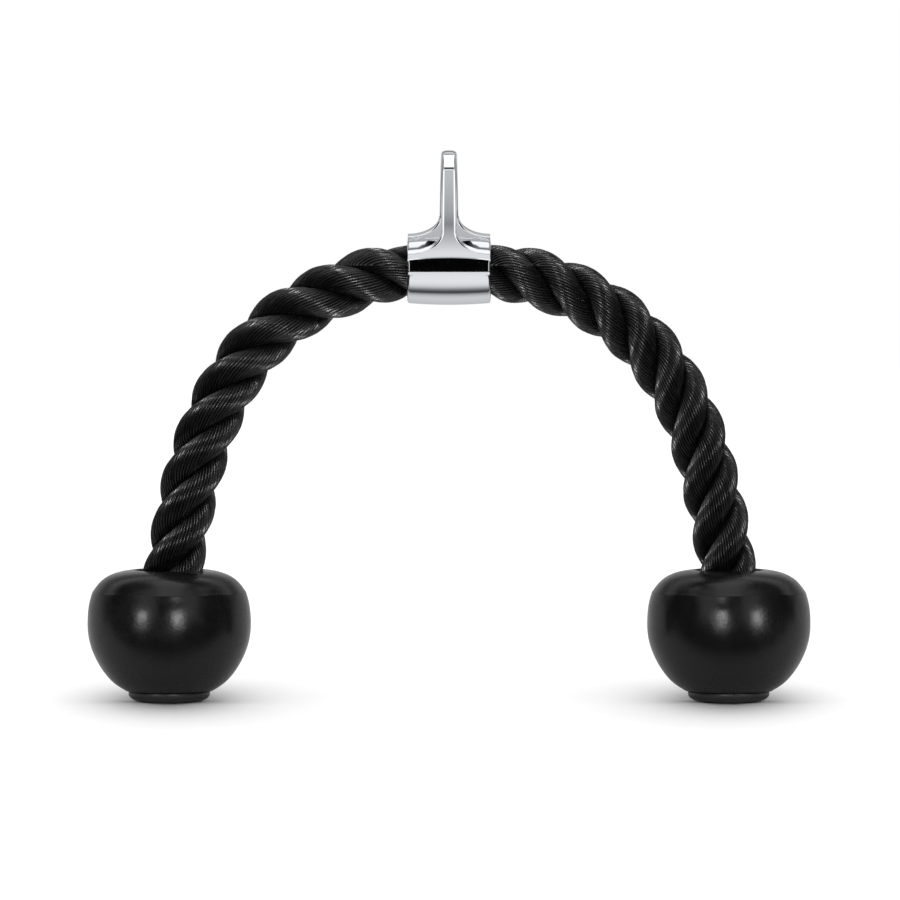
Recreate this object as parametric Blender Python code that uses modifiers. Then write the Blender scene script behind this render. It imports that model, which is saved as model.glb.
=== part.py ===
"""Triceps rope attachment for a cable machine.

A thick rope runs through a cast collar whose eye takes the machine's clip. Each end of the
rope goes down into a rubber stopper, where a crimped ferrule and a washer hold it, and a
domed cap closes the stopper's underside.

Metres, +Z up. The rope's arch lies in the XZ plane, the origin is on the ground under the
middle of the arch, and the object stands on the two caps' flat feet.
"""

from math import atan2, cos, pi, radians, sin, sqrt

import bmesh
import bpy
import numpy as np
from mathutils import Matrix, Vector

OBJECT_NAME = "triceps_rope_attachment"

# Gaps and overruns shared by several pieces
SEAT_GAP = 0.0003
CUT_OVERRUN = 0.002
MERGE_DISTANCE = 0.00002

# Rope and its arch
ROPE_DIAMETER = 0.036
PINCHED_DIAMETER = 0.032
SWELL_LENGTH = 0.013
COLLAR_HEIGHT = 0.2583
STOPPER_SPACING = 0.336
ROPE_PAST_COLLAR = 0.002
BEND_LENGTH = 0.060
LEAD_IN = 0.004
ROPE_STEP = 0.018
ROPE_BEVEL_RESOLUTION = 4
ARCH_SAMPLES = 12

# The arch between the collar and a stopper's mouth, chosen by eye: each point is a share of the
# way out to the stopper's axis, and a share of the way up from its mouth to the collar's axis
ARCH_SHARES = {
    "left": [
        (0.165, 0.975), (0.353, 0.914), (0.520, 0.832), (0.656, 0.722),
        (0.765, 0.591), (0.848, 0.442), (0.906, 0.292), (0.955, 0.110),
    ],
    "right": [
        (0.153, 0.981), (0.336, 0.930), (0.503, 0.855), (0.648, 0.749),
        (0.773, 0.609), (0.855, 0.467), (0.918, 0.299), (0.961, 0.150),
    ],
}

# Stopper
STOPPER_DIAMETER = 0.098
STOPPER_HEIGHT = 0.080
WIDEST_HEIGHT = 0.050
SHOULDER_HEIGHT = 0.066
SHOULDER_INSET = 0.0029
SHOULDER_STEP = 0.0004
UNDERSIDE_LEDGE = 0.0014
LOWER_CURVE_POWER = 2.2
DOME_POWER = 2.4
STOPPER_STEPS = 36
BORE_CLEARANCE = 0.0005
MOUTH_FLARE = 0.0055
FLARE_DEPTH = 0.024
MOUTH_LIP = 0.0014
LOWER_RINGS = 8
DOME_RINGS = 5
LIP_RINGS = 3

# Cap
CAP_RIM_DIAMETER = 0.049
CAP_RIM_HEIGHT = 0.0063
CAP_EDGE = 0.0014
CAP_FOOT_DIAMETER = 0.030
CAP_WALL = 0.0024
CAP_PLUG_HEIGHT = 0.0045
CAP_RINGS = 4

# Ferrule and washer inside the stopper
ROPE_END_HEIGHT = 0.012
FERRULE_LENGTH = 0.020
FERRULE_WALL = 0.0022
CRIMP_DEPTH = 0.0008
CRIMP_WIDTH = 0.003
CRIMP_PLACE_SHARES = (0.3, 0.7)
WASHER_THICKNESS = 0.0025
WASHER_OVERHANG = 0.0025
WASHER_POCKET_GAP = 0.0004
INSIDE_STEPS = 32

# Collar and its eye
COLLAR_LENGTH = 0.050
COLLAR_DIAMETER = 0.040
COLLAR_EDGE = 0.0015
COLLAR_BARREL = 0.0016
BARREL_STEPS = 6
COLLAR_STEPS = 40
RIM_STEPS = 2
EYE_LEAN = radians(23.5)
EYE_HEIGHT = 0.0770
EYE_DEPTH = 0.027
CROWN_RISE = 0.005
OUTER_SHOULDER = 0.0025
INNER_SHOULDER = 0.0015
STRAP_THICKNESS = 0.005
STRAP_WIDTH = 0.0106
STRAP_EDGE = 0.0018
STRAP_EDGE_STEPS = 2
FLARE_INSET = 0.0004
FLARE_FOOT_HEIGHT = 0.0173
FLARE_HEIGHT = 0.0137
HOLE_FOOT_HEIGHT = 0.004
CROWN_STEPS = 10
SHOULDER_STEPS = 3
FLARE_STEPS = 7
EDGE_ANGLE = radians(50)

# Finishes: colour, roughness, metallic
FINISHES = {
    "chrome": ((0.78, 0.79, 0.80), 0.12, 1.0),
    "rope": ((0.012, 0.012, 0.014), 0.75, 0.0),
    "rubber": ((0.014, 0.014, 0.015), 0.45, 0.0),
    "plastic": ((0.016, 0.016, 0.017), 0.40, 0.0),
    "steel": ((0.55, 0.56, 0.57), 0.35, 1.0),
    "aluminium": ((0.70, 0.71, 0.72), 0.40, 1.0),
}

ROPE_RADIUS = ROPE_DIAMETER / 2
PINCHED_RADIUS = PINCHED_DIAMETER / 2
BORE_RADIUS = PINCHED_RADIUS + BORE_CLEARANCE
STOPPER_X = STOPPER_SPACING / 2
WIDEST_RADIUS = STOPPER_DIAMETER / 2
SHOULDER_RADIUS = WIDEST_RADIUS - SHOULDER_INSET
STRAIGHT_IN_COLLAR = COLLAR_LENGTH + 2 * ROPE_PAST_COLLAR
FERRULE_RADIUS = PINCHED_RADIUS + SEAT_GAP + FERRULE_WALL
WASHER_RADIUS = FERRULE_RADIUS + WASHER_OVERHANG
POCKET_RADIUS = WASHER_RADIUS + WASHER_POCKET_GAP
FERRULE_TOP = ROPE_END_HEIGHT + FERRULE_LENGTH
WASHER_BOTTOM = FERRULE_TOP + SEAT_GAP
POCKET_TOP = WASHER_BOTTOM + WASHER_THICKNESS + SEAT_GAP
STOPPER_BOTTOM = CAP_RIM_HEIGHT + SEAT_GAP
FLARE_BOTTOM = STOPPER_HEIGHT - FLARE_DEPTH
SIDE_SIGN = {"left": -1, "right": 1}


def clear_scene():
    for thing in list(bpy.data.objects):
        bpy.data.objects.remove(thing, do_unlink=True)


def new_collection(name):
    collection = bpy.data.collections.new(name)
    bpy.context.scene.collection.children.link(collection)
    return collection


def make_materials():
    materials = {}
    for name, (colour, roughness, metallic) in FINISHES.items():
        material = bpy.data.materials.new(name)
        material.use_nodes = True
        shader = material.node_tree.nodes["Principled BSDF"]
        shader.inputs["Base Color"].default_value = (*colour, 1)
        shader.inputs["Roughness"].default_value = roughness
        shader.inputs["Metallic"].default_value = metallic
        materials[name] = material
    return materials


def add_object(name, data, collection, material=None):
    thing = bpy.data.objects.new(name, data)
    collection.objects.link(thing)
    if material:
        data.materials.append(material)
    return thing


def add_pivot(name, place, collection, parent=None):
    """An empty on a joint's axis, for what turns there to hang from."""
    pivot = add_object(name, None, collection)
    pivot.location = place
    return hang(pivot, parent) if parent else pivot


def hang(thing, parent):
    """Parents a thing to a pivot or piece without moving it."""
    bpy.context.view_layer.update()
    thing.parent = parent
    thing.matrix_parent_inverse = parent.matrix_world.inverted()
    return thing


def as_cutter(thing):
    thing.hide_render = True
    thing.display_type = "WIRE"
    return thing


def apply_boolean(thing, other, operation):
    modifier = thing.modifiers.new(operation.lower(), "BOOLEAN")
    modifier.operation = operation
    modifier.object = other
    modifier.solver = "EXACT"


def turned(name, profile, steps, collection, material=None):
    """A closed profile of (radius, height) points, running down its outer side, turned about Z."""
    mesh = bpy.data.meshes.new(name)
    points = [(radius, 0, height) for radius, height in profile]
    on_axis = profile[0][0] == 0
    count = len(points)
    edges = [(i, (i + 1) % count) for i in range(count - 1 if on_axis else count)]
    mesh.from_pydata(points, edges, [])
    thing = add_object(name, mesh, collection, material)
    screw = thing.modifiers.new("turn", "SCREW")
    screw.axis = "Z"
    screw.steps = steps
    screw.render_steps = steps
    screw.use_merge_vertices = True
    screw.merge_threshold = MERGE_DISTANCE
    screw.use_smooth_shade = True
    return thing


def rope_radius(point):
    """How thick the rope is: pinched in the collar and inside a stopper, and full size between."""
    from_collar = (abs(point.x) - STRAIGHT_IN_COLLAR / 2 - LEAD_IN) / SWELL_LENGTH
    from_stopper = (point.z - FLARE_BOTTOM) / FLARE_DEPTH
    share = max(0.0, min(1.0, from_collar, from_stopper))
    return PINCHED_RADIUS + (ROPE_RADIUS - PINCHED_RADIUS) * share


def rope_length(name, points, collection, material):
    """A round length of the rope along points, with flat capped ends."""
    curve = bpy.data.curves.new(name, "CURVE")
    curve.dimensions = "3D"
    spline = curve.splines.new("POLY")
    spline.points.add(len(points) - 1)
    for place, point in zip(spline.points, points, strict=True):
        place.co = (*point, 1)
        place.radius = rope_radius(point) / ROPE_RADIUS
    curve.bevel_depth = ROPE_RADIUS
    curve.bevel_resolution = ROPE_BEVEL_RESOLUTION
    curve.use_fill_caps = True
    return add_object(name, curve, collection, material)


def slab(name, outlines, half_thickness, to_world):
    """A mesh of flat outlines (the later ones are holes) thickened both ways along its local Z."""
    curve = bpy.data.curves.new(name, "CURVE")
    curve.dimensions = "2D"
    curve.fill_mode = "BOTH"
    curve.extrude = half_thickness
    for outline in outlines:
        spline = curve.splines.new("POLY")
        spline.points.add(len(outline) - 1)
        for place, (x, y) in zip(spline.points, outline, strict=True):
            place.co = (x, y, 0, 1)
        spline.use_cyclic_u = True
    drawn = bpy.data.objects.new(name, curve)
    bpy.context.scene.collection.objects.link(drawn)
    bpy.context.view_layer.update()
    depsgraph = bpy.context.evaluated_depsgraph_get()
    mesh = bpy.data.meshes.new_from_object(drawn.evaluated_get(depsgraph))
    bpy.data.objects.remove(drawn)
    cage = bmesh.new()
    cage.from_mesh(mesh)
    bmesh.ops.remove_doubles(cage, verts=cage.verts, dist=MERGE_DISTANCE)
    bmesh.ops.recalc_face_normals(cage, faces=cage.faces)
    cage.to_mesh(mesh)
    cage.free()
    mesh.transform(to_world)
    return mesh


def rod_profile(radius, length):
    """Half the outline of a rod about Z."""
    return [(0, length / 2), (radius, length / 2), (radius, -length / 2), (0, -length / 2)]


def barrel_profile():
    """Half the sleeve's outline: a slight barrel with rounded rims, turned about the rope's axis."""
    half, rim = COLLAR_LENGTH / 2, COLLAR_DIAMETER / 2 - COLLAR_BARREL
    upper = arc((rim - COLLAR_EDGE, half - COLLAR_EDGE), COLLAR_EDGE, pi / 2, 0, RIM_STEPS)
    lower = arc((rim - COLLAR_EDGE, COLLAR_EDGE - half), COLLAR_EDGE, 0, -pi / 2, RIM_STEPS)
    heights = np.linspace(half - COLLAR_EDGE, COLLAR_EDGE - half, BARREL_STEPS + 1)[1:-1]
    sides = [(rim + COLLAR_BARREL * (1 - (height / half) ** 2), height) for height in heights]
    return [(0, half), *upper, *sides, *lower, (0, -half)]


def arc(centre, radius, start, end, steps):
    """Points of a circle's arc, both ends included."""
    angles = np.linspace(start, end, steps + 1)
    return [(centre[0] + radius * cos(a), centre[1] + radius * sin(a)) for a in angles]


def smooth_curve(points, start_way, end_way):
    """A cubic spline through points, with the given unit directions at its two ends."""
    points = np.array(points)
    spans = np.linalg.norm(np.diff(points, axis=0), axis=1)
    count = len(points)
    system = np.zeros((count, count))
    wanted = np.zeros((count, points.shape[1]))
    system[0, 0] = system[-1, -1] = 1
    wanted[0], wanted[-1] = start_way, end_way
    for i in range(1, count - 1):
        before, after = spans[i - 1], spans[i]
        system[i, i - 1 : i + 2] = after, 2 * (before + after), before
        wanted[i] = 3 * (
            after * (points[i] - points[i - 1]) / before
            + before * (points[i + 1] - points[i]) / after
        )
    slopes = np.linalg.solve(system, wanted)

    def at(span, share):
        a, b = points[span], points[span + 1]
        m, n = slopes[span] * spans[span], slopes[span + 1] * spans[span]
        s, s2, s3 = share, share**2, share**3
        near = (2 * s3 - 3 * s2 + 1) * a + (s3 - 2 * s2 + s) * m
        return near + (3 * s2 - 2 * s3) * b + (s3 - s2) * n

    return at


def even_points(points, step):
    """The same line with points an even step apart, at least three of them."""
    points = np.array(points)
    along = np.concatenate([[0], np.cumsum(np.linalg.norm(np.diff(points, axis=0), axis=1))])
    places = np.linspace(0, along[-1], max(3, round(along[-1] / step) + 1))
    return np.stack([np.interp(places, along, column) for column in points.T], axis=1)


def arch_line(side):
    """The rope's centreline from the collar's mouth down to where it runs straight in the stopper."""
    mouth_x = STRAIGHT_IN_COLLAR / 2
    span = STOPPER_X - mouth_x
    rise = COLLAR_HEIGHT - STOPPER_HEIGHT
    inner = [(mouth_x + out * span, STOPPER_HEIGHT + up * rise) for out, up in ARCH_SHARES[side]]
    points = [(mouth_x, COLLAR_HEIGHT), *inner, (STOPPER_X, FLARE_BOTTOM)]
    curve = smooth_curve(points, (1, 0), (0, -1))
    shares = np.arange(ARCH_SAMPLES) / ARCH_SAMPLES
    fine = [curve(i, share) for i in range(len(points) - 1) for share in shares]
    return even_points([*fine, points[-1]], ROPE_STEP)


def world_points(side, flat_points):
    return [Vector((SIDE_SIGN[side] * x, 0, z)) for x, z in flat_points]


def bend_and_arm_lines(side):
    """The arch split in the middle of one of its straight steps, so that both ends meet square.

    Each line starts and ends half a seat gap away from what it meets.
    """
    line = arch_line(side)
    start = np.array([STRAIGHT_IN_COLLAR / 2 + SEAT_GAP / 2, COLLAR_HEIGHT])
    lead = np.array([STRAIGHT_IN_COLLAR / 2 + LEAD_IN, COLLAR_HEIGHT])
    step = np.linalg.norm(line[1] - line[0])
    split = max(1, min(len(line) - 3, round(BEND_LENGTH / step)))
    middle = (line[split] + line[split + 1]) / 2
    way = (line[split + 1] - line[split]) / np.linalg.norm(line[split + 1] - line[split])
    end = np.array([STOPPER_X, ROPE_END_HEIGHT])
    bend = [start, lead, *line[1 : split + 1], middle - way * SEAT_GAP / 2]
    arm = [middle + way * SEAT_GAP / 2, *line[split + 1 :], end]
    return world_points(side, bend), world_points(side, arm)


def middle_of(points):
    """The point half way along a line."""
    lengths = [(b - a).length for a, b in zip(points, points[1:], strict=False)]
    left = sum(lengths) / 2
    for start, end, length in zip(points, points[1:], lengths, strict=False):
        if left <= length:
            return start.lerp(end, left / length)
        left -= length
    return points[-1]


def power_curve(share, power):
    """How wide a rounded form is, from 1 at its widest place to 0 at its pole."""
    return max(0.0, 1 - share**power) ** (1 / power)


def stopper_radius(height):
    """The stopper's outer side: an ellipse from the widest place up to the shoulder, and a
    squarer curve down to the flat underside, which is a ledge wider than the cap."""
    if height > WIDEST_HEIGHT:
        share = power_curve(SHOULDER_RADIUS / WIDEST_RADIUS, 2)
        reach = (SHOULDER_HEIGHT - WIDEST_HEIGHT) / share
        return WIDEST_RADIUS * power_curve((height - WIDEST_HEIGHT) / reach, 2)
    underside = CAP_RIM_DIAMETER / 2 + UNDERSIDE_LEDGE
    share = power_curve(underside / WIDEST_RADIUS, LOWER_CURVE_POWER)
    reach = (WIDEST_HEIGHT - STOPPER_BOTTOM) / share
    return WIDEST_RADIUS * power_curve((WIDEST_HEIGHT - height) / reach, LOWER_CURVE_POWER)


def dome_height(radius):
    """The stopper's top surface: low and almost flat round the rope, falling at the shoulder."""
    share = min(1.0, radius / (SHOULDER_RADIUS - SHOULDER_STEP))
    return SHOULDER_HEIGHT + (STOPPER_HEIGHT - SHOULDER_HEIGHT) * power_curve(share, DOME_POWER)


def stopper_profile():
    mouth_radius = BORE_RADIUS + MOUTH_FLARE
    lip_centre_radius = mouth_radius + MOUTH_LIP
    lip_centre_height = dome_height(lip_centre_radius) - MOUTH_LIP
    rim = SHOULDER_RADIUS - SHOULDER_STEP
    profile = arc((lip_centre_radius, lip_centre_height), MOUTH_LIP, pi, pi / 2, LIP_RINGS)
    for i in range(1, DOME_RINGS + 1):
        turn = i / DOME_RINGS * pi / 2
        radius = lip_centre_radius + (rim - lip_centre_radius) * sin(turn)
        profile.append((radius, dome_height(radius)))
    shoulder = SHOULDER_HEIGHT - SHOULDER_STEP
    profile.append((stopper_radius(shoulder), shoulder))
    for i in range(1, LOWER_RINGS + 1):
        turn = i / LOWER_RINGS * pi / 2
        height = shoulder + (STOPPER_BOTTOM - shoulder) * sin(turn)
        profile.append((stopper_radius(height), height))
    profile += [(POCKET_RADIUS, STOPPER_BOTTOM), (POCKET_RADIUS, POCKET_TOP)]
    profile += [(BORE_RADIUS, POCKET_TOP), (BORE_RADIUS, FLARE_BOTTOM)]
    return profile


def cap_profile():
    rim = CAP_RIM_DIAMETER / 2
    foot = CAP_FOOT_DIAMETER / 2
    plug = POCKET_RADIUS - SEAT_GAP
    plug_top = CAP_RIM_HEIGHT + CAP_PLUG_HEIGHT
    profile = [(0, CAP_WALL), (plug - CAP_WALL, CAP_WALL), (plug - CAP_WALL, plug_top), (plug, plug_top)]
    profile += [(plug, CAP_RIM_HEIGHT), (rim, CAP_RIM_HEIGHT)]
    edge_bottom = CAP_RIM_HEIGHT - CAP_EDGE
    for i in range(CAP_RINGS + 1):
        turn = i / CAP_RINGS * pi / 2
        profile.append((foot + (rim - foot) * cos(turn), edge_bottom * (1 - sin(turn))))
    profile.append((0, 0))
    return profile


def ferrule_profile():
    inner = PINCHED_RADIUS + SEAT_GAP
    profile = [(FERRULE_RADIUS, FERRULE_TOP)]
    for share in sorted(CRIMP_PLACE_SHARES, reverse=True):
        place = ROPE_END_HEIGHT + share * FERRULE_LENGTH
        waist = FERRULE_RADIUS - CRIMP_DEPTH
        profile.append((FERRULE_RADIUS, place + CRIMP_WIDTH / 2))
        profile.append((waist, place + CRIMP_WIDTH / 4))
        profile.append((waist, place - CRIMP_WIDTH / 4))
        profile.append((FERRULE_RADIUS, place - CRIMP_WIDTH / 2))
    profile += [(FERRULE_RADIUS, ROPE_END_HEIGHT), (inner, ROPE_END_HEIGHT), (inner, FERRULE_TOP)]
    return profile


def washer_profile():
    top, bottom = WASHER_BOTTOM + WASHER_THICKNESS, WASHER_BOTTOM
    return [(WASHER_RADIUS, top), (WASHER_RADIUS, bottom), (BORE_RADIUS, bottom), (BORE_RADIUS, top)]


def eye_outline(inset, shoulder, foot):
    """The eye seen along the rope: two straight legs and a flatter crown on rounded shoulders.

    Points are (front to back, up) from the rope's axis, inset inwards all round but at the foot.
    """
    half = EYE_DEPTH / 2
    crown_radius = (half**2 + CROWN_RISE**2) / (2 * CROWN_RISE)
    centre = EYE_HEIGHT - crown_radius
    side, crown = half - inset, crown_radius - inset
    out = side - shoulder
    up = sqrt((crown - shoulder) ** 2 - out**2)
    turn = atan2(up, out)
    outline = arc((out, centre + up), shoulder, 0, turn, SHOULDER_STEPS)
    outline += arc((0, centre), crown, turn, pi - turn, CROWN_STEPS)[1:-1]
    outline += arc((-out, centre + up), shoulder, pi - turn, pi, SHOULDER_STEPS)
    return [*outline, (-side, foot), (side, foot)]


def flare_outline():
    """The eye seen from the front: a narrow strap that flares to the sleeve's length at its foot."""
    narrow, wide = STRAP_WIDTH / 2, COLLAR_LENGTH / 2 - FLARE_INSET
    top = EYE_HEIGHT + CUT_OVERRUN
    half = [(narrow, top)]
    for i in range(FLARE_STEPS + 1):
        turn = i / FLARE_STEPS * pi / 2
        out = wide - (wide - narrow) * cos(turn)
        half.append((out, FLARE_FOOT_HEIGHT + FLARE_HEIGHT * (1 - sin(turn))))
    half.append((wide, 0))
    return half + [(-x, z) for x, z in reversed(half)]


def make_collar(parts, cutters, materials):
    """The sleeve with its leaning eye, bored for the rope."""
    side_view = Matrix(((0, 0, 1, 0), (1, 0, 0, 0), (0, 1, 0, 0), (0, 0, 0, 1)))
    front_view = Matrix(((1, 0, 0, 0), (0, 0, -1, 0), (0, 1, 0, 0), (0, 0, 0, 1)))
    lean = Matrix.Translation((0, 0, COLLAR_HEIGHT)) @ Matrix.Rotation(EYE_LEAN, 4, "X")
    hole = eye_outline(STRAP_THICKNESS, INNER_SHOULDER, HOLE_FOOT_HEIGHT)
    outlines = [eye_outline(0, OUTER_SHOULDER, 0), hole]
    loop = slab("eye_collar", outlines, COLLAR_LENGTH / 2, side_view)
    collar = add_object("eye_collar", loop, parts, materials["chrome"])
    front = slab("strap_form", [flare_outline()], COLLAR_DIAMETER, front_view)
    strap = as_cutter(add_object("strap_form", front, cutters))
    sleeve = as_cutter(turned("sleeve_form", barrel_profile(), COLLAR_STEPS, cutters))
    hollow = rod_profile(BORE_RADIUS, COLLAR_LENGTH + 2 * CUT_OVERRUN)
    bore = as_cutter(turned("bore_form", hollow, COLLAR_STEPS, cutters))
    apply_boolean(collar, strap, "INTERSECT")
    edges = collar.modifiers.new("edges", "BEVEL")
    edges.width = STRAP_EDGE
    edges.segments = STRAP_EDGE_STEPS
    edges.limit_method = "ANGLE"
    edges.angle_limit = EDGE_ANGLE
    apply_boolean(collar, sleeve, "UNION")
    apply_boolean(collar, bore, "DIFFERENCE")
    collar.matrix_world = strap.matrix_world = lean
    sleeve.matrix_world = bore.matrix_world = lean @ Matrix.Rotation(pi / 2, 4, "Y")
    return collar


def make_rope(parts, materials):
    """The rope as plain round lengths: its middle in the collar, and a bend and an arm each side.

    Returns the pivots that the arms hang from.
    """
    centre = add_pivot("collar_axis", (0, 0, COLLAR_HEIGHT), parts)
    half = STRAIGHT_IN_COLLAR / 2 - SEAT_GAP / 2
    middle = [Vector((x, 0, COLLAR_HEIGHT)) for x in (-half, 0, half)]
    hang(rope_length("rope_middle", middle, parts, materials["rope"]), centre)
    pivots = {}
    for side in SIDE_SIGN:
        bend, arm = bend_and_arm_lines(side)
        hang(rope_length(f"rope_bend_{side}", bend, parts, materials["rope"]), centre)
        pivots[side] = add_pivot(f"bend_axis_{side}", middle_of(bend), parts, centre)
        hang(rope_length(f"rope_arm_{side}", arm, parts, materials["rope"]), pivots[side])
    return pivots


def make_rope_end(side, pivot, parts, materials):
    """The stopper on one end of the rope, its cap, and the ferrule and washer inside it."""
    forms = {
        "stopper": (stopper_profile(), STOPPER_STEPS, "rubber"),
        "stopper_cap": (cap_profile(), STOPPER_STEPS, "plastic"),
        "washer": (washer_profile(), INSIDE_STEPS, "steel"),
        "ferrule": (ferrule_profile(), INSIDE_STEPS, "aluminium"),
    }
    pieces = {}
    for name, (profile, steps, finish) in forms.items():
        pieces[name] = turned(f"{name}_{side}", profile, steps, parts, materials[finish])
        pieces[name].location = (SIDE_SIGN[side] * STOPPER_X, 0, 0)
    for name in ("stopper", "ferrule"):
        hang(pieces[name], pivot)
    for name in ("stopper_cap", "washer"):
        hang(pieces[name], pieces["stopper"])


def main():
    clear_scene()
    parts = new_collection(OBJECT_NAME)
    cutters = new_collection("cutters")
    materials = make_materials()
    make_collar(parts, cutters, materials)
    pivots = make_rope(parts, materials)
    for side, pivot in pivots.items():
        make_rope_end(side, pivot, parts, materials)


main()
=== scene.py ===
"""Triceps rope attachment, dressed for the picture.

A three-strand rope runs through a chrome collar with an eye, and each of its ends goes down
into a black rubber stopper that stands on a low cap. Metres, +Z up, in the model's own frame.
"""

from itertools import product
from math import cos, exp, pi, radians, sin, tau

import bpy
import numpy as np
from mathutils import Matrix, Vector

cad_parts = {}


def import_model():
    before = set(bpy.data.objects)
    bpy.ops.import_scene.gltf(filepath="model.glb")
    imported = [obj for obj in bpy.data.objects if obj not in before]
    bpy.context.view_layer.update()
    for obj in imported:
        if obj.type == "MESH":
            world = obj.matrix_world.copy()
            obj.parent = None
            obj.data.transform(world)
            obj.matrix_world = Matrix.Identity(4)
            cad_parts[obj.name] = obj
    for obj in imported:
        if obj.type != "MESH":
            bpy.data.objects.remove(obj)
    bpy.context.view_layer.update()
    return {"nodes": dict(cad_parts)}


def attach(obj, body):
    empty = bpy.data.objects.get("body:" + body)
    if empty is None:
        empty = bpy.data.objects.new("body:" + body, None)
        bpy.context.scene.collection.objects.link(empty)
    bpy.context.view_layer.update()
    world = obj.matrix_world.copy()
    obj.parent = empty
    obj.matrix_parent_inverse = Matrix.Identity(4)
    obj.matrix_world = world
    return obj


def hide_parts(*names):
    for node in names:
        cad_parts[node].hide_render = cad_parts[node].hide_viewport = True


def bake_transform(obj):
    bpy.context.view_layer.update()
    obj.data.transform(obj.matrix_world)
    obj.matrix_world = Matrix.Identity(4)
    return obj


# Camera: a long lens almost level with the object
METRES_PER_PIXEL = 0.0006
PICTURE_SIDE = 900
SENSOR_WIDTH = 36.0
CAMERA_DISTANCE = 4.0
CAMERA_ELEVATION = radians(2)
VIEW_CENTRE = (0.0006, 0, 0.1512)

# Rope and its arch, as in the solid model
COLLAR_HEIGHT = 0.2583
STOPPER_X = 0.168
STOPPER_HEIGHT = 0.080
MOUTH_X = 0.027
FLARE_BOTTOM = 0.056
ROPE_END_HEIGHT = 0.012
SIDE_SIGN = {"left": -1, "right": 1}

# The arch between the collar and a stopper's mouth: each point is a share of the way out to the
# stopper's axis, and a share of the way up from its mouth to the collar's axis
ARCH_SHARES = {
    "left": [
        (0.165, 0.975), (0.353, 0.914), (0.520, 0.832), (0.656, 0.722),
        (0.765, 0.591), (0.848, 0.442), (0.906, 0.292), (0.955, 0.110),
    ],
    "right": [
        (0.153, 0.981), (0.336, 0.930), (0.503, 0.855), (0.648, 0.749),
        (0.773, 0.609), (0.855, 0.467), (0.918, 0.299), (0.961, 0.150),
    ],
}
ROUTE_STEP = 0.0005
ARCH_STEPS = 40

# Strands: the lay length is one full turn of a strand round the rope, and the phase is in thirds
# of a turn, 0 where a strand lies on the arch's outer side at the middle of the collar
STRANDS = 3
LAY_LENGTHS = {"left": 0.0858, "right": 0.0821}
LAY_PHASES = {"left": -1.246, "right": -0.3945}
STRAND_RADIUS = 0.0086
STRAND_RING_RADIUS = 0.0095
PINCH = 0.89
SWELL_START = 0.025
SWELL_LENGTH = 0.015
STRAND_GAP_ANGLE = radians(0.4)
RING_STEP = 0.0016

# Yarns: how many lie round a strand, how long one turn of them is, and how high and uneven they are
YARNS = 26
POINTS_PER_YARN = 5
YARN_TURN_LENGTHS = {"left": 0.040, "right": 0.033}
YARN_HEIGHT = 0.0008
YARN_WANDER = 0.00012
YARN_WANDER_RINGS = 7
YARN_LEVEL_SHARE = 0.6
YARN_SEED = 7

# Collar, in its own frame: X along the rope, Y to the back and Z up the eye
COLLAR_LENGTH = 0.050
COLLAR_RADIUS = 0.020
BORE_RADIUS = 0.0165
COLLAR_EDGE = 0.0015
COLLAR_BARREL = 0.0011
BORE_EDGE = 0.0008

# Eye, which leans to the front: its outline seen along the rope, its strap, its crown seen from in
# front, the flare at the strap's foot, and the fillets where that meets the sleeve
EYE_LEAN = radians(23.5)
EYE_HEIGHT = 0.0776
EYE_DEPTH = 0.027
CROWN_RISE = 0.005
OUTER_SHOULDER = 0.0008
INNER_SHOULDER = 0.0015
STRAP_THICKNESS = 0.005
STRAP_HALF_WIDTH = 0.0044
STRAP_DRAFT = 0.066
CROWN_HALF_WIDTH = 0.0049
CROWN_TAPER = 0.042
CROWN_CORNER = 0.0036
STRAP_EDGE = 0.0019
FLARE_EDGE = 0.0006
FLARE_INSET = 0.0003
FLARE_FOOT_HEIGHT = 0.0173
FLARE_HEIGHT = 0.0137
FLARE_STEPS = 24
FILLET = 0.0010
FOOT_FILLET = 0.0013
FOOT_START = 0.0105
FLARE_TOP = FLARE_FOOT_HEIGHT + FLARE_HEIGHT
CROWN_RADIUS = ((EYE_DEPTH / 2) ** 2 + CROWN_RISE**2) / (2 * CROWN_RISE)

# The collar's skin: the grid's cell, the cells left free round the form, and the rounds of moving its
# points onto the form
COLLAR_CELL = 0.0004
FREE_CELLS = 3
STEP_ENDS = (slice(None, -1), slice(1, None))
SETTLING_ROUNDS = 4

# Stopper and cap: radius and height of points down the stopper's outside, from the shoulder, and the
# directions in which the dome and the side start and end
SHOULDER = (0.0461, 0.0661)
STOPPER_SIDE = [
    (0.0478, 0.0602), (0.0490, 0.0500), (0.0486, 0.0400), (0.0465, 0.0316),
    (0.0431, 0.0240), (0.0381, 0.0164), (0.0322, 0.0105),
]
UNDERSIDE = (0.0260, 0.0066)
SIDE_WAYS = ((0.32, -0.95), (-0.86, -0.5))
STOPPER_DOME = [(0.0322, 0.0774), (0.0406, 0.0728)]
DOME_WAYS = ((0.99, -0.1), (0.55, -0.83))
MOUTH = (0.0222, 0.0793)
MOUTH_LIP = 0.0014
PARTING_STEP = 0.0003
BORE_BOTTOM = 0.0352
POCKET_TOP = 0.035
STOPPER_STEPS = 144
CURVE_STEPS = 8
LIP_STEPS = 6
CAP_RIM_RADIUS = 0.0245
CAP_RIM_HEIGHT = 0.0063
CAP_FOOT_RADIUS = 0.015
CAP_RIM_EDGE = 0.0006
CAP_RIM_DEPTH = 0.0014
CAP_CENTRE_RADIUS = 0.002
CAP_PLUG_RADIUS = 0.0208
CAP_GAP = 0.0003
CAP_EDGE_STEPS = 4
CAP_FOOT_STEPS = 14

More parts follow.
